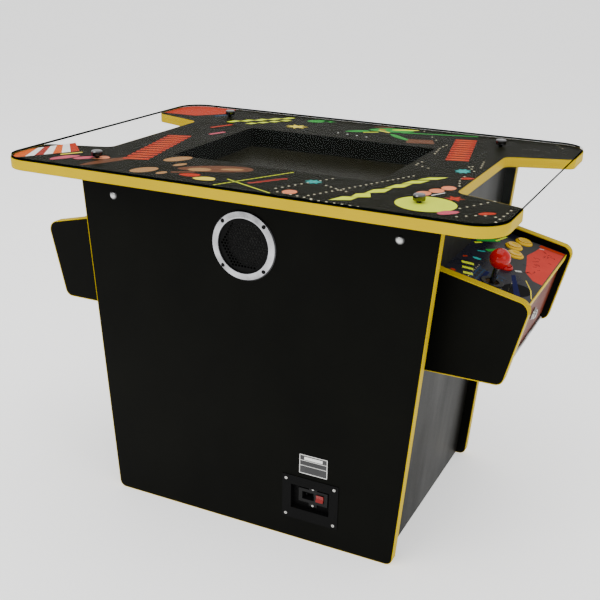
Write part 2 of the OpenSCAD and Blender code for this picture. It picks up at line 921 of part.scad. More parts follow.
module button(side, p, tint) {
    color(tint) deck_frame(side) plunger(p);
}

button_tint = [0.95, 0.8, 0.08];
start_tint = [0.8, 0.04, 0.04];
module right_button_1() { button(1, buttons_at[0], button_tint); }
module right_button_2() { button(1, buttons_at[1], button_tint); }
module right_button_3() { button(1, buttons_at[2], button_tint); }
module right_start_button() { button(1, start_at, start_tint); }
module left_button_1() { button(-1, buttons_at[0], button_tint); }
module left_button_2() { button(-1, buttons_at[1], button_tint); }
module left_button_3() { button(-1, buttons_at[2], button_tint); }
module left_start_button() { button(-1, start_at, start_tint); }

// Gimbal ring: it turns in the housing on two trunnions along the slope
module stick_pivot(side) {
    color([0.85, 0.85, 0.82])
        stick_frame(side)
            difference() {
                union() {
                    cylinder(r = ring_out, h = 2 * ring_half, center = true);
                    rotate([0, 90, 0]) cylinder(r = trunnion_r, h = 42, center = true);
                }
                cylinder(r = ring_in, h = 50, center = true);
                rotate([90, 0, 0]) cylinder(r = cross_pin_r + running, h = 40, center = true);
            }
}

module right_stick_pivot() { stick_pivot(1); }
module left_stick_pivot() { stick_pivot(-1); }

// Shaft with its cross pin in the gimbal ring and the actuator that works the switches
module stick_shaft(side) {
    color([0.1, 0.1, 0.1])
        stick_frame(side) {
            translate([0, 0, -18])
                cylinder(r = shaft_r, h = 18 + ball_z - pivot_z - ball_d / 2 + 2);
            translate([0, 0, -22]) cylinder(r = 9, h = 10);
            rotate([90, 0, 0]) cylinder(r = cross_pin_r, h = 2 * ring_out - 1, center = true);
        }
}

module right_stick_shaft() { stick_shaft(1); }
module left_stick_shaft() { stick_shaft(-1); }

module stick_ball(side) {
    color([0.8, 0.03, 0.03])
        stick_frame(side)
            translate([0, 0, ball_z - pivot_z])
                difference() {
                    sphere(d = ball_d, $fn = 96);
                    translate([0, 0, -ball_d / 2 - 1]) cylinder(r = shaft_r, h = 3);
                }
}

module right_stick_ball() { stick_ball(1); }
module left_stick_ball() { stick_ball(-1); }

// ---- Table top ----
bolts_at = [for (x = [-300, 300]) for (y = [-237, 237]) [x, y]];

module bolt_holes(r) {
    for (p = bolts_at) translate([p.x, p.y, 0]) circle(r);
}

module table_board() {
    color([0.1, 0.1, 0.09])
        translate([0, 0, board_z])
            difference() {
                grooved_board(table_pts, table_rad, []);
                translate([0, 0, -1])
                    linear_extrude(board_t + 2) {
                        square([screen_len, screen_wid], center = true);
                        bolt_holes(3.1);
                    }
            }
}

module table_trim() {
    color([0.9, 0.76, 0.1])
        translate([0, 0, board_z]) moulding(table_pts, table_rad, []);
}

module table_print() {
    color([0.2, 0.25, 0.12])
        translate([0, 0, board_z + board_t])
            linear_extrude(print_t)
                difference() {
                    rounded(table_pts, table_rad);
                    square([screen_len, screen_wid], center = true);
                    bolt_holes(3.5);
                }
}

glass_pts = [[hx, -hy], [hx, hy], [-hx, hy], [-hx, -hy]];

module glass_top() {
    color([0.7, 0.8, 0.78, 0.3])
        translate([0, 0, glass_z])
            linear_extrude(glass_t)
                difference() {
                    rounded(glass_pts, [top_corner, top_corner, top_corner, top_corner]);
                    bolt_holes(4);
                }
}

// Polished caps that hold the glass down, each on a bolt into the board
module glass_bolts() {
    color([0.85, 0.85, 0.86])
        for (p = bolts_at)
            translate([p.x, p.y, top_h]) {
                rotate_extrude()
                    polygon([[0, 0], [10, 0], [10, 7], [8.8, 9], [0, 9.5]]);
                translate([0, 0, -18]) cylinder(r = 3, h = 18.5);
            }
}

// Wooden frame that carries the sunk screen below the board
shroud_h = 19;
shroud_w = 26;
module screen_shroud() {
    color([0.06, 0.06, 0.06])
        translate([0, 0, board_z - shroud_h])
            linear_extrude(shroud_h)
                difference() {
                    square([screen_len + 2 * shroud_w, screen_wid + 2 * shroud_w], center = true);
                    square([screen_len, screen_wid], center = true);
                }
}

screen_z = board_z - shroud_h;
module lcd_monitor() {
    color([0.1, 0.11, 0.1])
        translate([0, 0, screen_z - 24]) {
            block([-216, -165, 0], [216, 165, 24]);
            block([-110, -80, -28], [110, 80, 0]);
        }
}

// Two bent steel straps that hold the monitor up against the frame
module monitor_straps() {
    t = 2;
    half = 226;
    low = screen_z - 24 - t;
    color([0.65, 0.66, 0.68])
        for (y = [-125, 125])
            upright(y - 12, y + 12) {
                translate([-half, low]) square([2 * half, t]);
                for (s = [-1, 1]) {
                    translate([s * (half - t / 2), low + (board_z - low) / 2])
                        square([t, board_z - low], center = true);
                    translate([s * (half + 10), board_z - t / 2])
                        square([24, t], center = true);
                }
            }
}

module table_hinge_leaves() {
    half = leaf_len / 6 - 0.3;
    color([0.7, 0.7, 0.7])
        for (x = [-leaf_x, leaf_x])
            translate([x, 0, 0]) {
                block([-leaf_len / 2, hinge_y - 2, board_z - leaf_t],
                      [leaf_len / 2, hinge_y + leaf_w, board_z]);
                block([-half, hinge_y + 1.8, hinge_z], [half, hinge_y + 3.3, board_z]);
                table_knuckle(0, half, pin_r + running);
            }
}

side_panel_front();
side_panel_back();
side_trims();
end_panel_right();
end_panel_left();
base_board();
corner_battens();
corner_brackets();
carriage_bolts();
speaker_ring();
speaker_mesh();
speaker_frame();
speaker_cone();
panel_screws();
power_plate();
inlet_module();
power_rocker();
rating_label();
game_board();
power_supply();
control_box_boards();
cheek_trims();
deck_boards();
deck_trims();
deck_prints();
stick_housings();
dust_rings();
microswitches();
button_rims();
start_rims();
fixed_hinge_leaves();
right_door();
right_door_fittings();
right_lock_cam();
left_door();
left_door_fittings();
left_lock_cam();
right_stick_pivot();
right_stick_shaft();
right_stick_ball();
right_button_1();
right_button_2();
right_button_3();
right_start_button();
left_stick_pivot();
left_stick_shaft();
left_stick_ball();
left_button_1();
left_button_2();
left_button_3();
left_start_button();
table_board();
table_trim();
table_print();
glass_top();
glass_bolts();
screen_shroud();
lcd_monitor();
monitor_straps();
table_hinge_leaves();
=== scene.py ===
import json
import math
import random

import bmesh
import bpy
from mathutils import Matrix, Vector
from mathutils.geometry import delaunay_2d_cdt


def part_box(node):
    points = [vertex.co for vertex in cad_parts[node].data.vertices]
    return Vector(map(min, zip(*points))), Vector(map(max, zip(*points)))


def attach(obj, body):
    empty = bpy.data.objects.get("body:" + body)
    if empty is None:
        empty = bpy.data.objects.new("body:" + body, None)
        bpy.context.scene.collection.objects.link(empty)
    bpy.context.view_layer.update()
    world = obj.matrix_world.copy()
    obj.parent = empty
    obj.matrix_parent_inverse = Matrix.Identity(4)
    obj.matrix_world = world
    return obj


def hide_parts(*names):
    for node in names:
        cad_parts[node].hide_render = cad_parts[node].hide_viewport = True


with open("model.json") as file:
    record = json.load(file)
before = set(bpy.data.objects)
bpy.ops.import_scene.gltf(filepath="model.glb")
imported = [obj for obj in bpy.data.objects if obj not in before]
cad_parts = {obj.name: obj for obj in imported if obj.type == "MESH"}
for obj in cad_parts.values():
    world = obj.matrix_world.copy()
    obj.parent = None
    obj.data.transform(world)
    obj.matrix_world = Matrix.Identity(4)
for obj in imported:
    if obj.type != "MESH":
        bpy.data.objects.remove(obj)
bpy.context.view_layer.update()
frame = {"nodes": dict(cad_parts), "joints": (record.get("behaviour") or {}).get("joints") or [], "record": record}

# Two-player cocktail arcade cabinet. Drawings, their helpers and names that end in _mm
# are in millimetres; everything handed to Blender is in metres.

nodes = frame["nodes"]
scene = bpy.context.scene


# ---------------------------------------------------------------- materials

class Shader:
    """A Principled material with object coordinates and a few shorthands for its nodes."""

    def __init__(self, name):
        self.material = bpy.data.materials.new(name)
        self.material.use_nodes = True
        self.tree = self.material.node_tree
        self.bsdf = self.tree.nodes["Principled BSDF"]
        self.coords = self.tree.nodes.new("ShaderNodeTexCoord")

    def add(self, kind, inputs=None, **settings):
        node = self.tree.nodes.new(kind)
        for key, value in settings.items():
            setattr(node, key, value)
        for key, value in (inputs or {}).items():
            if isinstance(value, bpy.types.NodeSocket):
                self.tree.links.new(value, node.inputs[key])
            else:
                node.inputs[key].default_value = value
        return node

    def set(self, **values):
        for key, value in values.items():
            self.bsdf.inputs[key.replace("_", " ")].default_value = value

    def link(self, socket, key):
        self.tree.links.new(socket, self.bsdf.inputs[key])

    def place(self, stretch=(1, 1, 1)):
        mapping = self.add("ShaderNodeMapping", {"Vector": self.coords.outputs["Object"]})
        mapping.inputs["Scale"].default_value = stretch
        return mapping.outputs["Vector"]

    def noise(self, scale, detail=3.0, rough=0.55, stretch=(1, 1, 1)):
        return self.add(
            "ShaderNodeTexNoise",
            {"Vector": self.place(stretch), "Scale": scale, "Detail": detail, "Roughness": rough},
        ).outputs["Fac"]

    def spread(self, value, low, high, start=0.3, end=0.7):
        return self.add(
            "ShaderNodeMapRange",
            {"Value": value, "From Min": start, "From Max": end, "To Min": low, "To Max": high},
        ).outputs["Result"]

    def blend(self, value, a, b, start=0.3, end=0.7):
        """Colour a below start, b above end."""
        ramp = self.add("ShaderNodeValToRGB", {"Fac": value})
        ramp.color_ramp.elements[0].position = start
        ramp.color_ramp.elements[1].position = end
        ramp.color_ramp.elements[0].color = (*a, 1)
        ramp.color_ramp.elements[1].color = (*b, 1)
        return ramp.outputs["Color"]

    def mix(self, factor, a, b, mode="MIX"):
        node = self.add("ShaderNodeMix", data_type="RGBA", blend_type=mode)
        for socket, value in ((node.inputs[0], factor), (node.inputs[6], a), (node.inputs[7], b)):
            if isinstance(value, bpy.types.NodeSocket):
                self.tree.links.new(value, socket)
            else:
                socket.default_value = value if isinstance(value, float) else (*value, 1)
        return node.outputs[2]

    def math(self, operation, a, b=0.0):
        node = self.add("ShaderNodeMath", operation=operation)
        for socket, value in zip(node.inputs, (a, b)):
            if isinstance(value, bpy.types.NodeSocket):
                self.tree.links.new(value, socket)
            else:
                socket.default_value = value
        return node.outputs[0]

    def bump(self, height, strength, distance):
        node = self.add(
            "ShaderNodeBump", {"Height": height, "Strength": strength, "Distance": distance}
        )
        self.link(node.outputs["Normal"], "Normal")


def tinted(colour, factor):
    """The colour made lighter or darker, within what a base colour can be."""
    return tuple(min(1.0, c * factor) for c in colour)


def laminate(name, colour, rough, specular):
    """Board faced with satin laminate: orange-peel texture, faint wipe marks and dust."""
    s = Shader(name)
    cloud = s.noise(7, 5)
    fleck = s.noise(420, 2)
    base = s.blend(cloud, tinted(colour, 0.75), tinted(colour, 1.3))
    dust = s.spread(s.noise(1100, 1, 0.4), 0.0, 0.12, 0.76, 0.82)
    s.link(s.mix(dust, base, tinted(colour, 2.0)), "Base Color")
    wipe = s.noise(9, 4, 0.6, (1, 1, 0.25))
    s.link(s.math("ADD", s.spread(wipe, rough - 0.06, rough + 0.07), s.spread(fleck, -0.03, 0.03)),
           "Roughness")
    s.set(Specular_IOR_Level=specular)
    s.bump(s.noise(1500, 2, 0.5), 0.12, 0.0002)
    return s.material


def moulded(name, colour, rough, specular=0.5, coat=0.0, grain=1400, relief=0.1, wear=0.12):
    """Moulded plastic: slight colour drift, fine texture and soft scuffs."""
    s = Shader(name)
    drift = s.noise(22, 3)
    base = s.blend(drift, tinted(colour, 1 - wear), tinted(colour, 1 + wear * 0.6))
    scuff = s.spread(s.noise(140, 6, 0.75, (1, 0.2, 1)), 0.0, 0.35, 0.62, 0.8)
    s.link(s.mix(scuff, base, tinted(colour, 0.7)), "Base Color")
    s.link(s.math("ADD", s.spread(drift, rough - 0.05, rough + 0.06), s.math("MULTIPLY", scuff, 0.3)),
           "Roughness")
    s.set(Specular_IOR_Level=specular, Coat_Weight=coat, Coat_Roughness=0.04)
    s.bump(s.noise(grain, 2, 0.5), relief, 0.0002)
    return s.material


def edging(name, colour):
    """Extruded edge moulding: long die lines, a slight drift in tone, light scuffs."""
    s = Shader(name)
    lines = s.noise(700, 2, 0.5, (0.04, 0.04, 1.0))
    drift = s.noise(5, 4)
    base = s.blend(drift, tinted(colour, 0.9), tinted(colour, 1.06))
    streak = s.spread(lines, 0.0, 0.22, 0.5, 0.75)
    scuff = s.spread(s.noise(90, 6, 0.8), 0.0, 0.5, 0.66, 0.8)
    base = s.mix(streak, base, tinted(colour, 0.78))
    s.link(s.mix(scuff, base, tinted(colour, 0.7)), "Base Color")
    s.link(s.math("ADD", s.spread(drift, 0.3, 0.4), s.math("MULTIPLY", scuff, 0.25)), "Roughness")
    s.set(Specular_IOR_Level=0.01)
    s.bump(s.math("ADD", lines, s.noise(1600, 1)), 0.1, 0.0003)
    return s.material


def metal(name, colour, rough, stretch=(1, 1, 1), scale=900, relief=0.08, stain=0.15, rim_shade=1.0,
          shade_lean_range=(0.78, 0.97)):
    """Plated or brushed metal with smudges and fine directional scratches.

    A shade factor under 1 paints shade on faces that lean away from the cabinet's long sides, so chamfers and dome
    edges come out darker."""
    s = Shader(name)
    smudge = s.noise(35, 5)
    base = s.blend(smudge, tinted(colour, 1 - stain), tinted(colour, 1.05))
    # painted shade: faces tilted away from the long sides get a darker copy of the colour, standing in for the
    # shading on chamfers, dome edges and screw heads
    if rim_shade < 1:
        lean = s.add("ShaderNodeSeparateXYZ", {"Vector": s.coords.outputs["Normal"]}).outputs["Y"]
        painted_shade_mask = s.spread(s.math("ABSOLUTE", lean), 1.0, 0.0, *shade_lean_range)
        base = s.mix(painted_shade_mask, base, tinted(colour, rim_shade))
    s.link(base, "Base Color")
    scratch = s.noise(scale, 3, 0.6, stretch)
    worn = s.spread(smudge, rough - 0.06, rough + 0.1)
    s.link(s.math("ADD", worn, s.spread(scratch, -0.04, 0.06)), "Roughness")
    s.set(Metallic=1.0)
    s.bump(scratch, relief, 0.0002)
    return s.material


def coated(name, colour):
    """Black powder coat: pebbled, with a few rubbed spots."""
    s = Shader(name)
    pebble = s.noise(1300, 2, 0.5)
    rub = s.spread(s.noise(60, 5, 0.7), 0.0, 0.5, 0.66, 0.8)
    s.link(s.mix(rub, colour, tinted(colour, 2.2)), "Base Color")
    s.link(s.spread(pebble, 0.42, 0.6), "Roughness")
    s.set(Specular_IOR_Level=0.05)
    s.bump(pebble, 0.25, 0.0003)
    return s.material


def timber(name, pale, dark):
    """Planed softwood: rings stretched along the length, pores and knots."""
    s = Shader(name)
    warp = s.noise(6, 4, 0.6, (1, 1, 0.2))
    rings = s.add(
        "ShaderNodeTexWave",
        {"Vector": s.place((1, 1, 0.12)), "Scale": 30, "Distortion": 6.0, "Detail": 3.0},
    ).outputs["Fac"]
    base = s.blend(rings, pale, dark, 0.2, 0.95)
    s.link(s.mix(s.spread(warp, 0.0, 0.4), base, tinted(dark, 0.85)), "Base Color")
    s.link(s.spread(rings, 0.55, 0.75, 0, 1), "Roughness")
    s.bump(s.math("ADD", rings, s.noise(900, 2, 0.5, (1, 1, 0.1))), 0.15, 0.0004)
    return s.material


def fibreboard(name, colour):
    """Bare fibre board: matted fibres and saw dust tones."""
    s = Shader(name)
    fibre = s.noise(700, 4, 0.7, (1, 0.35, 1))
    cloud = s.noise(12, 4)
    base = s.blend(fibre, tinted(colour, 0.7), tinted(colour, 1.25), 0.35, 0.65)
    s.link(s.mix(s.spread(cloud, 0.0, 0.35), base, tinted(colour, 0.75)), "Base Color")
    s.set(Roughness=0.8, Specular_IOR_Level=0.2)
    s.bump(fibre, 0.3, 0.0004)
    return s.material


def print_film(name, colour, second, rough, specular):
    """Printed film: two dark tones in soft clouds under a halftone screen."""
    s = Shader(name)
    cloud = s.noise(3.5, 3)
    base = s.blend(cloud, colour, second, 0.35, 0.65)
    dots = s.add(
        "ShaderNodeTexVoronoi", {"Vector": s.place(), "Scale": 1400.0}
    ).outputs["Distance"]
    s.link(s.mix(s.spread(dots, 0.0, 0.3, 0.2, 0.6), base, tinted(second, 1.35)), "Base Color")
    s.link(s.spread(s.noise(40, 4), rough - 0.05, rough + 0.08), "Roughness")
    s.set(Specular_IOR_Level=specular)
    s.bump(s.noise(260, 2), 0.03, 0.0002)
    return s.material


def ink(name, colour):
    """Printed colour: a slight halftone grain and soft darker clouds."""
    s = Shader(name)
    grain = s.noise(1200, 2, 0.5)
    cloud = s.noise(30, 3)
    base = s.blend(grain, tinted(colour, 0.86), tinted(colour, 1.1), 0.35, 0.65)
    s.link(s.mix(s.spread(cloud, 0.0, 0.3), base, tinted(colour, 0.72)), "Base Color")
    s.link(s.spread(grain, 0.28, 0.42), "Roughness")
    s.set(Specular_IOR_Level=0.005)
    s.bump(grain, 0.03, 0.0001)
    return s.material


def clear_glass():
    """Toughened sheet: nearly clear faces under a faint grey veil in soft clouds, and edges painted green-black as
    painted shade for the dark look of the sheet's edges.

    The edge at the left end is made partly see-through so that it reads lighter, a painted light on that end."""
    s = Shader("clear_glass")
    normal = s.add("ShaderNodeSeparateXYZ", {"Vector": s.coords.outputs["Normal"]})
    edge = s.math("LESS_THAN", s.math("ABSOLUTE", normal.outputs["Z"]), 0.6)
    # painted light: the edge facing the left end is made partly see-through so that it reads lighter than the
    # others
    lit_left_end = s.math("LESS_THAN", normal.outputs["X"], -0.8)
    edge_alpha_lit_left = s.math("SUBTRACT", 1.0, s.math("MULTIPLY", lit_left_end, 0.6))
    face_veil = s.spread(s.noise(6, 5, 0.6), 0.004, 0.012)
    s.link(s.spread(edge, face_veil, edge_alpha_lit_left, 0.0, 1.0), "Alpha")
    # painted shade: the edges get a near-black green colour
    s.link(s.mix(edge, (0.3, 0.34, 0.32), (0.001, 0.002, 0.0015)), "Base Color")
    s.link(s.spread(s.noise(9, 4), 0.02, 0.07), "Roughness")
    s.link(s.spread(edge, 0.25, 0.0, 0, 1), "Specular IOR Level")
    s.set(IOR=1.5)
    return s.material


def paper_cone():
    """Black pressed paper with matted fibres."""
    s = Shader("paper_cone")
    pulp = s.noise(500, 4, 0.7)
    s.link(s.blend(pulp, (0.012, 0.012, 0.011), (0.04, 0.04, 0.037)), "Base Color")
    s.set(Roughness=0.85)
    s.bump(pulp, 0.4, 0.0004)
    return s.material


def circuit_board():
    """Green solder mask with paler copper runs showing through."""
    s = Shader("green_board")
    runs = s.add(
        "ShaderNodeTexBrick",
        {"Vector": s.place(), "Scale": 60.0, "Mortar Size": 0.03,
         "Color1": (0.008, 0.09, 0.03, 1), "Color2": (0.01, 0.12, 0.04, 1),
         "Mortar": (0.03, 0.22, 0.09, 1)},
    ).outputs["Color"]
    s.link(s.mix(s.spread(s.noise(80, 4), 0.0, 0.4), runs, (0.02, 0.05, 0.02)), "Base Color")
    s.set(Roughness=0.3)
    s.bump(s.noise(400, 3), 0.15, 0.0003)
    return s.material


def dark_screen():
    """Unlit flat screen: olive-black glass with an anti-glare sparkle and faint dust."""
    s = Shader("dark_screen")
    haze = s.noise(4, 4)
    base = s.blend(haze, (0.007, 0.0062, 0.002), (0.01, 0.009, 0.003))
    dust = s.spread(s.noise(1200, 1, 0.4), 0.0, 0.1, 0.76, 0.82)
    s.link(s.mix(dust, base, (0.03, 0.03, 0.02)), "Base Color")
    s.link(s.spread(s.noise(800, 1), 0.22, 0.34), "Roughness")
    s.set(Specular_IOR_Level=0.03)
    s.bump(s.noise(2200, 1), 0.05, 0.0001)
    return s.material


materials = {
    "black_laminate": laminate("black_laminate", (0.0016, 0.0017, 0.001), 0.5, 0.04),
    "grey_laminate": laminate("grey_laminate", (0.0065, 0.0063, 0.0052), 0.42, 0.05),
    "maroon_board": laminate("maroon_board", (0.1, 0.017, 0.007), 0.42, 0.03),
    "yellow_edging": edging("yellow_edging", (0.5, 0.35, 0.0)),
    "bare_board": fibreboard("bare_board", (0.3, 0.19, 0.1)),
    "bare_wood": timber("bare_wood", (0.55, 0.38, 0.2), (0.36, 0.22, 0.1)),
    "zinc_steel": metal("zinc_steel", (0.62, 0.63, 0.65), 0.38, (1, 1, 1), 60, 0.1, 0.3),
    # bright_steel, silver_metal and screw_metal paint shade on their faces that tilt away from the long sides
    "bright_steel": metal("bright_steel", (0.6, 0.6, 0.59), 0.18, rim_shade=0.08, shade_lean_range=(0.84, 0.995)),
    "silver_metal": metal("silver_metal", (0.5, 0.5, 0.52), 0.24, (1, 0.2, 1), 700, 0.08, 0.5, 0.1),
    "polished_chrome": metal("polished_chrome", (0.13, 0.13, 0.135), 0.1, (1, 1, 1), 500, 0.02),
    "lock_metal": metal("lock_metal", (0.34, 0.33, 0.31), 0.2, (1, 1, 0.15), 1100),
    "screw_metal": metal("screw_metal", (0.6, 0.59, 0.56), 0.24, (1, 1, 1), 1200, rim_shade=0.15),
    "black_metal": coated("black_metal", (0.003, 0.003, 0.003)),
    "black_steel": metal("black_steel", (0.14, 0.14, 0.15), 0.26, (1, 1, 0.1), 900),
    "black_plastic": moulded("black_plastic", (0.006, 0.006, 0.006), 0.42, 0.15, 0.0, 1000, 0.25),
    "pale_plastic": moulded("pale_plastic", (0.6, 0.6, 0.56), 0.45),
    "red_rocker": moulded("red_rocker", (0.22, 0.004, 0.003), 0.2, 0.3, 0.3),
    "red_plastic": moulded("red_plastic", (0.36, 0.003, 0.003), 0.12, 0.16, 0.12, 400, 0.03, 0.05),
    "yellow_plastic": moulded("yellow_plastic", (0.6, 0.36, 0.003), 0.24, 0.15, 0.08, 500, 0.05, 0.06),
    "paper_cone": paper_cone(),
    "white_label": moulded("white_label", (0.012, 0.012, 0.013), 0.4, 0.4, 0.3),
    "green_board": circuit_board(),
    "deck_print": print_film("deck_print", (0.004, 0.004, 0.009), (0.008, 0.009, 0.016), 0.28, 0.12),
    "table_print": print_film("table_print", (0.004, 0.0038, 0.001), (0.006, 0.0056, 0.0018), 0.3,
                              0.003),
    "clear_glass": clear_glass(),
    "dark_screen": dark_screen(),
}

slots = {row["node"]: row["material_slot"] for row in frame["record"]["subparts"]}
for name, thing in nodes.items():
    thing.data.materials.clear()
    thing.data.materials.append(materials[slots[name]])


# ---------------------------------------------------------------- softened edges on CAD pieces

def soften(names, width_mm, segments=2):
    """Rounds the sharp edges of the named nodes."""
    for name in names:
        weld = nodes[name].modifiers.new("weld", "WELD")
        weld.merge_threshold = 1e-5
        bevel = nodes[name].modifiers.new("bevel", "BEVEL")
        bevel.width = width_mm / 1000
        bevel.segments = segments
        bevel.limit_method = "ANGLE"
        bevel.angle_limit = math.radians(50)
        bevel.use_clamp_overlap = True
        bevel.harden_normals = True


soften(["table_trim", "side_trims", "cheek_trims", "deck_trims"], 1.2, 3)
soften(["inlet_module", "right_door", "left_door"], 0.5)


# ---------------------------------------------------------------- flat drawings

def ellipse(x, y, rx, ry=None, turn=0.0, steps=28):
    """An ellipse, or a circle where only rx is given, turned by degrees."""
    ry = ry or rx
    c, s = math.cos(math.radians(turn)), math.sin(math.radians(turn))
    out = []
    for k in range(steps):
        a = 2 * math.pi * k / steps
        px, py = rx * math.cos(a), ry * math.sin(a)
        out.append((x + px * c - py * s, y + px * s + py * c))
    return out


def bar(x0, y0, x1, y1, width):
    """A strip from one point to the other."""
    dx, dy = x1 - x0, y1 - y0
    n = math.hypot(dx, dy)
    ax, ay = -dy / n * width / 2, dx / n * width / 2
    return [(x0 + ax, y0 + ay), (x0 - ax, y0 - ay), (x1 - ax, y1 - ay), (x1 + ax, y1 + ay)]


def star(x, y, r, inner, points, turn=0.0, squash=1.0):
    """Points at r and notches at inner, turned by degrees."""
    out = []
    for k in range(2 * points):
        a = math.pi * k / points + math.radians(turn)
        q = r if k % 2 == 0 else inner
        out.append((x + q * math.cos(a), y + q * squash * math.sin(a)))
    return out


def blob(x, y, rx, ry, turn, seed, lobes=0.16, steps=40):
    """An irregular rounded patch."""
    pick = random.Random(seed)
    waves = [(n, pick.uniform(0, 6.28), lobes / n) for n in (2, 3, 5)]  # count, phase, height
    c, s = math.cos(math.radians(turn)), math.sin(math.radians(turn))
    out = []
    for k in range(steps):
        a = 2 * math.pi * k / steps
        q = 1 + sum(w * math.sin(n * a + p) for n, p, w in waves)
        px, py = rx * q * math.cos(a), ry * q * math.sin(a)
        out.append((x + px * c - py * s, y + px * s + py * c))
    return out


def along(points, spacing):
    """Points at a spacing along a broken line."""
    out = []
    carry = 0.0
    for (x0, y0), (x1, y1) in zip(points, points[1:]):
        n = math.hypot(x1 - x0, y1 - y0)
        t = carry
        while t < n:
            out.append((x0 + (x1 - x0) * t / n, y0 + (y1 - y0) * t / n))
            t += spacing
        carry = t - n
    return out


def dotted(points, spacing, r):
    """Dots along a broken line."""
    return [ellipse(x, y, r, steps=10) for x, y in along(points, spacing)]


def rungs(points, spacing, half_x, half_y, width):
    """Parallel bars across a broken line, each reaching half_x and half_y to both sides."""
    return [bar(x - half_x, y - half_y, x + half_x, y + half_y, width)
            for x, y in along(points, spacing)]


def filled(outline, holes):
    """The outline less the holes, as corner points and triangles that index them."""
    area = sum(a[0] * b[1] - b[0] * a[1] for a, b in zip(outline, outline[1:] + outline[:1]))
    rings = [outline if area > 0 else outline[::-1], *holes]
    corners = [Vector(p) for ring in rings for p in ring]
    loops = []
    for ring in rings:
        start = sum(len(loop) for loop in loops)
        loops.append(list(range(start, start + len(ring))))
    # output type 1 leaves out what is outside every loop
    points, _, triangles, _, _, sources = delaunay_2d_cdt(corners, [], loops, 1, 1e-4, True)
    # a triangle from the outline alone is not in a hole
    kept = [t for t, source in zip(triangles, sources) if source == [0]]
    return points, kept


def slabs(name, drawings, to_world, body, thickness_mm=0.05, step_mm=0.02, holes=()):
    """Drawings as thin raised ink, in one mesh. A drawing is (ink, outlines, layer)."""
    mesh = bpy.data.meshes.new(name)
    bm = bmesh.new()
    used = []
    for tone, outlines, layer in drawings:
        if tone not in used:
            used.append(tone)
        high = layer * step_mm
        for outline in outlines:
            points, triangles = filled(outline, holes)
            low_ring = [bm.verts.new(to_world(p.x, p.y, high - thickness_mm)) for p in points]
            high_ring = [bm.verts.new(to_world(p.x, p.y, high)) for p in points]
            faces = [bm.faces.new([ring[k] for k in t])
                     for t in triangles for ring in (low_ring, high_ring)]
            # an edge that two triangles share is no side
            sides = {}
            for t in triangles:
                for a, b in zip(t, t[1:] + t[:1]):
                    if sides.pop((b, a), None) is None:
                        sides[(a, b)] = True
            for a, b in sides:
                faces.append(bm.faces.new([low_ring[a], low_ring[b], high_ring[b], high_ring[a]]))
            for f in faces:
                f.material_index = used.index(tone)
    bmesh.ops.delete(bm, geom=[v for v in bm.verts if not v.link_faces], context="VERTS")
    bmesh.ops.recalc_face_normals(bm, faces=bm.faces)
    bm.to_mesh(mesh)
    bm.free()
    for tone in used:
        mesh.materials.append(inks[tone])
    thing = bpy.data.objects.new(name, mesh)
    scene.collection.objects.link(thing)
    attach(thing, body)


inks = {
    key: ink("ink_" + key, colour)
    for key, colour in {
        "orange": (0.6, 0.1, 0.01), "white": (0.82, 0.82, 0.78), "dark_red": (0.3, 0.03, 0.02),
        "scarlet": (0.4, 0.028, 0.006), "lime": (0.62, 0.72, 0.02), "yellow": (0.75, 0.6, 0.05),
        "green": (0.02, 0.26, 0.035), "teal": (0.02, 0.33, 0.3), "salmon": (0.7, 0.22, 0.1),
        "pink": (0.5, 0.08, 0.12), "tan": (0.34, 0.18, 0.07), "brown": (0.12, 0.045, 0.02),
        "cream": (0.6, 0.55, 0.38), "grey": (0.05, 0.05, 0.05), "navy": (0.01, 0.012, 0.055),
        "coral": (0.5, 0.045, 0.035), "black": (0.008, 0.008, 0.008), "blue": (0.03, 0.08, 0.17),
        "violet": (0.2, 0.03, 0.25), "pale": (0.45, 0.45, 0.42),
    }.items()
}


# ---------------------------------------------------------------- table artwork

# the printed sheet is made thinner, so that its ink has room below the glass
print_low, print_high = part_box("table_print")
ink_room = 0.0002
art_top = print_high.z - ink_room
film = bpy.data.objects.new("table_artwork", nodes["table_print"].data.copy())
scene.collection.objects.link(film)
for v in film.data.vertices:
    if v.co.z > (print_low.z + print_high.z) / 2:
        v.co.z = art_top
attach(film, "table_top")
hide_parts("table_print")


def on_table(x, y, h):
    """From a table drawing (along, across, above the sheet) to the frame."""
    return Vector((x / 1000, y / 1000, art_top + h / 1000))


table_half_x, table_half_y = 450, 320
margin = 3.0


def corner_patch(sx, sy, x_in, y_in, r=49.0):
    """A corner of the table top, out to its rounded edge and in to x_in and y_in."""
    ex, ey = table_half_x - margin, table_half_y - margin
    arc = [
        (ex - r + r * math.cos(a), ey - r + r * math.sin(a))
        for a in [math.radians(9 * k) for k in range(11)]
    ]
    inner = [(x_in, ey), (x_in - 4, y_in + 50), (x_in + 40, y_in), (ex, y_in - 4)]
    return [(sx * x, sy * y) for x, y in arc + inner]


# stripes that fan out across the near left corner
stripes = []
tones = ["orange", "white", "dark_red", "white", "orange", "white", "scarlet"]
for k, tone in enumerate(tones):
    near_a, near_b = (-424 + 9 * k, -306 + 14 * k), (-415 + 9 * k, -292 + 14 * k)
    far_a, far_b = (-447 + 5 * k, -238 + 12 * k), (-442 + 5 * k, -226 + 12 * k)
    stripes.append((tone, [[near_a, near_b, far_b, far_a]], 1))

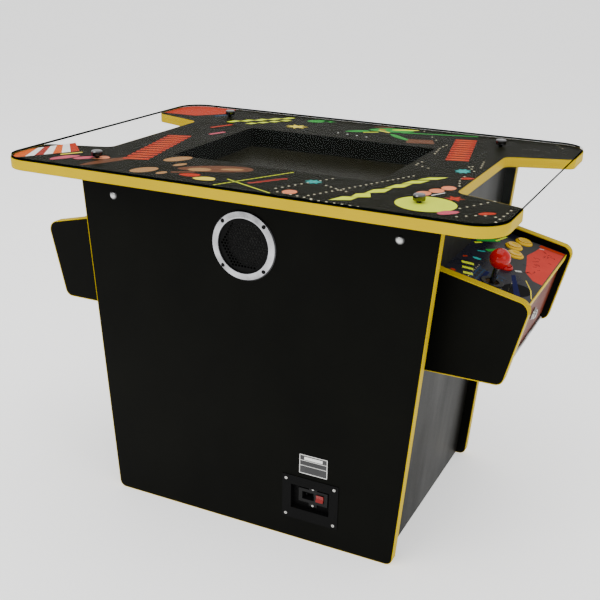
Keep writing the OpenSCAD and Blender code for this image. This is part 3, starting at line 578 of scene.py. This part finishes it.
# the middle lines of two blocks of rungs, and rows of dots with their spacing
left_block = [(-238, -206), (-280, 0)]
right_block = [(226, 255), (266, 62)]
dot_rows = [
    ([(72, -270), (95, -224), (130, -154)], 13),
    ([(134, -213), (180, -234)], 12),
    ([(84, -288), (150, -300)], 13),
    ([(136, -284), (176, -202), (236, -77)], 12),
    ([(150, -304), (232, -306)], 13),
    ([(400, -172), (359, -250)], 15),
    ([(374, -284), (404, -259), (438, -258)], 15),
    ([(436, -212), (432, -288)], 18),
    ([(212, 30), (208, 4), (250, -17)], 15),
    ([(310, 86), (318, 38), (294, 40), (322, -4)], 16),
    ([(206, 192), (203, 160), (212, 96)], 17),
    ([(173, 228), (120, 306)], 30),
    ([(312, -40), (312, -66), (324, -108)], 17),
]
table_drawing = [
    ("scarlet", [corner_patch(-1, 1, 330, 206)], 1),
    ("orange", [[(-424, -306), (-447, -238), (-447, -268), (-444, -284), (-436, -298)]], 1),
    *stripes,
    # jumble beside the stripes: soft patches and slivers
    ("pink", [blob(-352, -262, 26, 11, 62, 3), blob(-318, -246, 22, 10, 55, 9)], 2),
    ("yellow", [bar(-372, -248, -350, -214, 6)], 3),
    ("salmon", [blob(-296, -232, 17, 12, 50, 5)], 2),
    ("brown", [blob(-270, -246, 52, 12, 68, 11)], 1),
    ("scarlet", rungs(left_block, 19, 22, 8, 13), 2),
    ("orange", rungs(left_block, 19, 12, 4, 3.5), 3),
    # tan and brown rounded patches
    ("tan", [ellipse(-173, -172, 15, 28, -30), ellipse(-178, -270, 16, 26, -30),
             ellipse(-146, -208, 7, 14, -25), ellipse(-141, -273, 7, 11, -20)], 2),
    ("brown", [blob(-74, -203, 62, 24, 24, 21, 0.1), bar(-130, -262, -96, -240, 9)], 1),
    ("tan", [ellipse(-98, -222, 20, 12, 24), ellipse(-50, -194, 20, 7, 24)], 2),
    ("scarlet", [blob(-92, -262, 17, 11, 20, 25)], 2),
    ("yellow", [blob(-58, -272, 20, 11, 20, 27)], 2),
    # dashed guide lines
    ("lime", rungs([(-23, -298), (50, -156)], 9, 1.6, 3.4, 2.6)
     + rungs([(-21, -257), (77, -301)], 8, 3.4, -1.5, 2.6), 2),
    ("dark_red", [bar(17 + 9 * k, -262 + 14 * k, 33 + 9 * k, -246 + 14 * k, 7) for k in range(4)], 2),
    # plain bars along the far side
    ("lime", [[(-276 + 21 * k, 178 + 23 * k), (-262 + 21 * k, 180 + 23 * k),
               (-254 + 21 * k, 204 + 23 * k), (-270 + 21 * k, 202 + 23 * k)] for k in range(5)]
     + [[(-232 + 16 * k, 182 + 22 * k), (-218 + 16 * k, 184 + 22 * k),
         (-212 + 16 * k, 200 + 22 * k), (-226 + 16 * k, 198 + 22 * k)] for k in range(4)], 2),
    ("yellow", [star(-125, 209, 26, 12, 7, 20, 0.8)], 2),
    ("scarlet", [bar(-272, 108, -250, 158, 8)], 2),
    ("pink", [bar(-238, 46, -224, 82, 9)], 2),
    ("blue", [bar(-330, 222, -312, 254, 6)], 3),
    ("green", [blob(-112, 288, 24, 14, 25, 31), star(-92, 296, 18, 9, 6, 10, 0.7)], 2),
    # green leaf-like patches on the far side
    ("green", [blob(62, 276, 46, 21, 22, 33, 0.12), blob(4, 232, 26, 9, 40, 35),
               blob(98, 218, 36, 7, -38, 37), bar(86, 262, 236, 306, 7)], 2),
    ("lime", [blob(84, 292, 26, 7, 24, 39), bar(18, 226, 44, 244, 5)], 3),
    ("yellow", [bar(38, 262, 66, 250, 6)], 4),
    ("orange", [bar(34, 276, 50, 270, 6)], 4),
    ("brown", [[(118, 208), (168, 222), (182, 190), (130, 172)], blob(36, 300, 22, 5, 20, 43)], 1),
    ("white", dotted([(-24, 194), (50, 184)], 22, 2.2), 2),
    # studded block by the far right cap
    ("scarlet", rungs(right_block, 20, 20, 6, 14), 1),
    ("orange", rungs(right_block, 20, 12, 3.5, 4), 2),
    # dots, discs and bars between the screen and the near edge
    ("salmon", [ellipse(101, -279, 12, 13), ellipse(288, -181, 12, 15), ellipse(301, -155, 12, 14),
                ellipse(313, -129, 12, 14)], 2),
    ("teal", [star(106, -201, 16, 9, 8, 0, 0.9), star(298, -3, 15, 9, 8, 0, 1.2)], 2),
    ("cream", [dot for line, spacing in dot_rows for dot in dotted(line, spacing, 2.1)]
     + dotted([(394, 305), (418, 268)], 15, 1.6), 2),
    ("lime", [[(174, -292), (204, -276), (208, -252), (184, -262)],
              [(196, -262), (224, -244), (214, -222), (196, -236)],
              [(206, -226), (232, -206), (234, -176), (210, -198)],
              [(222, -182), (248, -160), (252, -132), (230, -150)],
              [(236, -140), (262, -122), (270, -96), (244, -112)],
              [(250, -100), (278, -84), (290, -60), (262, -76)]], 2),
    ("lime", [ellipse(312, -240, 48, 44)], 2),
    ("white", [bar(303, -187, 317, -161, 2.5)], 3),
    ("scarlet", [star(341, -188, 17, 7, 6, 12), blob(409, -247, 13, 7, 40, 45),
                 blob(320, -51, 11, 7, 40, 47)], 2),
    ("pink", [blob(356, -270, 17, 10, 40, 49)], 3),
]
slabs("table_ink", table_drawing, on_table, "table_top")


# ---------------------------------------------------------------- control deck artwork

slope = math.radians(13)
stick_pivot = next(j["pos_m"] for j in frame["joints"] if j["name"] == "right_stick_along")
stick_u = 78  # from the deck's upper edge down the slope to the stick
pivot_depth = 24  # from the deck's face down to the stick's pivot


def deck_point(side):
    """From a deck drawing (down the slope, across, off the face) to the frame."""
    origin = Vector((stick_pivot[0], 0, stick_pivot[2]))
    down = Vector((math.cos(slope), 0, -math.sin(slope)))
    off = Vector((math.sin(slope), 0, math.cos(slope)))
    flip = Matrix.Rotation(0 if side > 0 else math.pi, 3, "Z")

    def place(u, v, h):
        p = origin + down * ((u - stick_u) / 1000) + off * ((h + pivot_depth) / 1000)
        return flip @ (p + Vector((0, v / 1000, 0)))
    return place


def squiggles(seed, count, u0, u1, v0, v1):
    """Small bent strokes scattered over a rectangle."""
    width = 1.1
    pick = random.Random(seed)
    out = []
    for _ in range(count):
        u, v = pick.uniform(u0, u1), pick.uniform(v0, v1)
        a = pick.uniform(0, math.pi)
        n = pick.uniform(3, 7)
        bend = pick.uniform(0.5, 1.4)
        mu, mv = u + n * math.cos(a), v + n * math.sin(a)
        end_u, end_v = mu + 0.7 * n * math.cos(a + bend), mv + 0.7 * n * math.sin(a + bend)
        out.append(bar(u, v, mu, mv, width))
        out.append(bar(mu, mv, end_u, end_v, width))
    return out


deck_drawing = [
    ("grey", [[(52, 30), (58, 100), (66, 150), (100, 155), (149, 155), (149, -92), (128, -62), (96, -22),
               (72, 2)]], 1),
    ("coral", [[(94, 74), (101, 112), (104, 140), (149, 140), (149, -38), (132, -34), (112, -8),
                (104, 32)]], 2),
    ("scarlet", [[(100, 142), (102, 154), (149, 154), (149, 142)]], 2),
    ("black", squiggles(4, 26, 108, 142, -20, 132), 3),
    ("navy", [[(96, -46), (101, -38), (134, -126), (126, -138)], bar(60, -150, 60, -70, 7)], 3),
    ("black", [ellipse(120, -100, 22, 30, -20)], 2),
    ("green", [bar(0, 56, 34, 96, 12), bar(8, 92, 36, 132, 10), bar(30, 24, 46, 48, 9)], 2),
    ("lime", [bar(16, 98, 30, 140, 6), bar(30, 88, 40, 128, 4), bar(2, 40, 12, 54, 5)], 3),
    ("lime", [bar(12 + 8 * k, -70 - 21 * k, 32 + 6 * k, -62 - 22 * k, 9) for k in range(4)], 3),
    ("yellow", [bar(u, v, u + 2.6, v - 5, 1.6)
                for u, v in along([(122, -44), (138, -76), (148, -112)], 4.6)], 3),
    ("blue", [bar(44 + 9 * k, -60 - 4 * k, 44 + 9 * k, -148, 1.2) for k in range(6)]
     + [bar(36, -70 - 14 * k, 92, -70 - 14 * k, 1.2) for k in range(5)], 1),
    ("cream", dotted([(40, -56), (40, -148)], 9, 1.2) + dotted([(104, -58), (112, -148)], 7, 1.0)
     + dotted([(56, -14), (56, 20)], 9, 1.2), 2),
    ("violet", [blob(16, 148, 12, 4, 70, 51), bar(58, 142, 70, 150, 4)], 2),
    ("scarlet", [blob(12, -118, 5, 4, 0, 53), blob(84, -148, 6, 4, 0, 55), blob(64, -8, 5, 4, 0, 57),
                 bar(6, -44, 12, -36, 4)], 3),
    ("pale", [bar(96, -20, 106, -12, 6), bar(104, 132, 112, 136, 3)], 3),
    ("teal", [blob(28, -30, 7, 5, 10, 59), bar(18, 6, 30, 16, 4)], 2),
]
button_places = ((76, 52), (64, 91), (73, 132), (75, -20))
deck_holes = [ellipse(stick_u, -106, 17), *(ellipse(u, v, 15) for u, v in button_places)]
for side, word in ((1, "right"), (-1, "left")):
    slabs(word + "_deck_ink", deck_drawing, deck_point(side), "cabinet",
          holes=deck_holes)


# ---------------------------------------------------------------- rating label and screw heads

label_low, label_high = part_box("rating_label")


def on_front(face_y):
    """From a drawing (along, up, off the face) to an upright face at face_y."""
    def place(x, z, h):
        return Vector((x / 1000, face_y - h / 1000, z / 1000))
    return place


x0, x1 = label_low.x * 1000, label_high.x * 1000
z0, z1 = label_low.z * 1000, label_high.z * 1000
line = 1.2
thin_line = 0.9
label_drawing = [
    # a frame, two dividing lines and a broad heading bar
    ("white", [
        bar(x0 + 1, z0 + 1, x1 - 1, z0 + 1, line), bar(x0 + 1, z1 - 1, x1 - 1, z1 - 1, line),
        bar(x0 + 1, z0 + 1, x0 + 1, z1 - 1, line), bar(x1 - 1, z0 + 1, x1 - 1, z1 - 1, line),
        bar(x0 + 1, z0 + 17, x1 - 1, z0 + 17, thin_line),
        bar(x0 + 1, z1 - 12, x1 - 1, z1 - 12, thin_line),
        bar(x0 + 10, z1 - 7, x1 - 10, z1 - 7, 6)], 1),
    # plain bars in the two fields below it
    ("grey", [bar(x0 + 5, z0 + 21 + 2.2 * k, x1 - 6 - 5 * (k % 2), z0 + 21 + 2.2 * k, thin_line)
              for k in range(3)]
     + [bar(x0 + 12, z0 + 4.5 + 2.4 * k, x1 - 20 + 4 * (k % 3), z0 + 4.5 + 2.4 * k, thin_line)
        for k in range(5)], 1),
]
slabs("label_bars", label_drawing, on_front(label_low.y), "cabinet", 0.04)


def shaded_cross_slots(name, centres, face_y, size):
    """Cross recesses in screw heads, drawn as flat black marks that paint the shade inside them, each turned its
    own way.
    """
    drawing = []
    for k, (x, z) in enumerate(centres):
        a = math.radians(20 + 37 * k)
        c, s = math.cos(a) * size, math.sin(a) * size
        width = size * 0.36
        # painted shade: each recess is a black cross laid on the head
        drawing += [("black", [bar(x - c, z - s, x + c, z + s, width)], 1),
                    ("black", [bar(x + s, z - c, x - s, z + c, width)], 2)]
    slabs(name, drawing, on_front(face_y), "cabinet", 0.04)


ring_low, ring_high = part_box("speaker_ring")
ring_x, ring_z = (ring_low.x + ring_high.x) * 500, (ring_low.z + ring_high.z) * 500
plate_low, plate_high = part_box("power_plate")
plate_x, plate_z = (plate_low.x + plate_high.x) * 500, (plate_low.z + plate_high.z) * 500

# screw places in drawing units, and the faces of the screw heads in metres
ring_screw = 56 * math.sqrt(0.5)
plate_screw_x, plate_screw_z = 48, 37.5
inlet_x, inlet_z, inlet_screw_z = plate_x + 2.5, plate_z + 4, 17.5
ring_head_y, plate_head_y, inlet_head_y = -0.2378, -0.2366, -0.2276
corners = [(sx, sz) for sx in (-1, 1) for sz in (-1, 1)]
shaded_cross_slots("ring_screw_slot_shade",
            [(ring_x + sx * ring_screw, ring_z + sz * ring_screw) for sx, sz in corners],
            ring_head_y, 1.7)
shaded_cross_slots("plate_screw_slot_shade",
            [(plate_x + sx * plate_screw_x, plate_z + sz * plate_screw_z) for sx, sz in corners],
            plate_head_y, 1.6)
shaded_cross_slots("inlet_screw_slot_shade",
            [(inlet_x, inlet_z + sz * inlet_screw_z) for sz in (-1, 1)],
            inlet_head_y, 1.3)

# the screws of the speaker ring are black, the others nickel-plated
screws = nodes["panel_screws"]
screws.data.materials.append(materials["black_metal"])
for face in screws.data.polygons:
    if face.center.z > ring_low.z:
        face.material_index = 1


# ---------------------------------------------------------------- floor, light and camera

def floor_material():
    """Seamless pale paper, faintly clouded and slightly lit up."""
    s = Shader("pale_floor")
    cloud = s.noise(1.5, 3)
    s.link(s.blend(cloud, (0.9, 0.9, 0.89), (0.93, 0.93, 0.92)), "Base Color")
    s.set(Roughness=0.7, Specular_IOR_Level=0.1, Emission_Strength=0.7)
    return s.material


bpy.ops.mesh.primitive_plane_add(size=40, location=(0, 0, -0.0005))
floor = bpy.context.object
floor.name = "studio_floor"
floor.data.materials.append(floor_material())

world = scene.world or bpy.data.worlds.new("studio")
scene.world = world
world.use_nodes = True
backdrop = world.node_tree.nodes["Background"]
backdrop.inputs["Color"].default_value = (1.0, 1.0, 1.0, 1)
backdrop.inputs["Strength"].default_value = 1.0


def softbox(name, place, aim, size, power):
    """A soft rectangular light at a place, turned to where it aims."""
    light = bpy.data.lights.new(name, "AREA")
    light.shape = "RECTANGLE"
    light.size, light.size_y = size
    light.energy = power
    thing = bpy.data.objects.new(name, light)
    scene.collection.objects.link(thing)
    thing.location = place
    thing.rotation_euler = (Vector(aim) - Vector(place)).to_track_quat("-Z", "Y").to_euler()


softbox("key", (-1.2, -3.0, 2.6), (0, 0, 0.4), (2.6, 1.8), 60)
softbox("fill", (3.2, -1.4, 1.8), (0.2, 0, 0.4), (1.8, 1.8), 20)
softbox("top", (0.0, 0.3, 4.2), (0, 0, 0.5), (4.0, 4.0), 90)

# the camera's axes, from its yaw, pitch and roll
yaw, pitch, roll = math.radians(25.4), math.radians(-22.7), math.radians(1.2)
ahead = Vector((-math.sin(yaw) * math.cos(pitch), math.cos(yaw) * math.cos(pitch), math.sin(pitch)))
right = Vector((math.cos(yaw), math.sin(yaw), 0))
up = right.cross(ahead)
tilted_right = right * math.cos(roll) + up * math.sin(roll)
tilted_up = up * math.cos(roll) - right * math.sin(roll)
camera_data = bpy.data.cameras.new("camera")
camera_data.sensor_width = 36
camera_data.lens = 57.6
camera_data.shift_y = 0.05
camera = bpy.data.objects.new("camera", camera_data)
scene.collection.objects.link(camera)
turn = Matrix((tilted_right, tilted_up, -ahead)).transposed()
camera.matrix_world = Matrix.Translation((0.751, -1.599, 1.054)) @ turn.to_4x4()
scene.camera = camera
